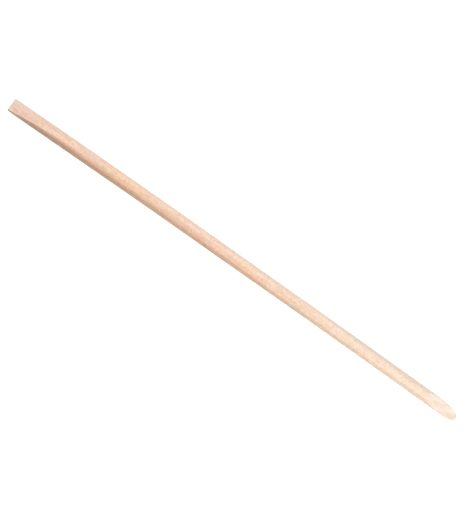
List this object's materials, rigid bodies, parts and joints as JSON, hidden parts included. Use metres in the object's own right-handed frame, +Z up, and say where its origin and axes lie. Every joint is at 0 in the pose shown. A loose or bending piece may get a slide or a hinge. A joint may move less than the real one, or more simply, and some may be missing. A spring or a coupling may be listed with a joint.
{
  "type": "manicure stick",
  "caption": "Slim round wooden stick, slightly bowed, with a bevelled chisel end and a long slanting cut with a blunt rounded nose, for pushing back cuticles and cleaning nails.",
  "frame": {"origin": "on the table that the stick lies on, under the middle of its length and width", "axes": "+X runs along the stick from the chisel to the slanting cut, +Z is up, and the slanting cut faces up; the slight bow lies in the XY plane, with its hollow side towards -Y"},
  "size_m": [0.115, 0.0032, 0.003],
  "materials": {
    "pale_wood": "bare sanded wood, matt, fine straight grain"
  },
  "bodies": {
    "root": {"stick": "pale_wood"}
  },
  "joints": []
}
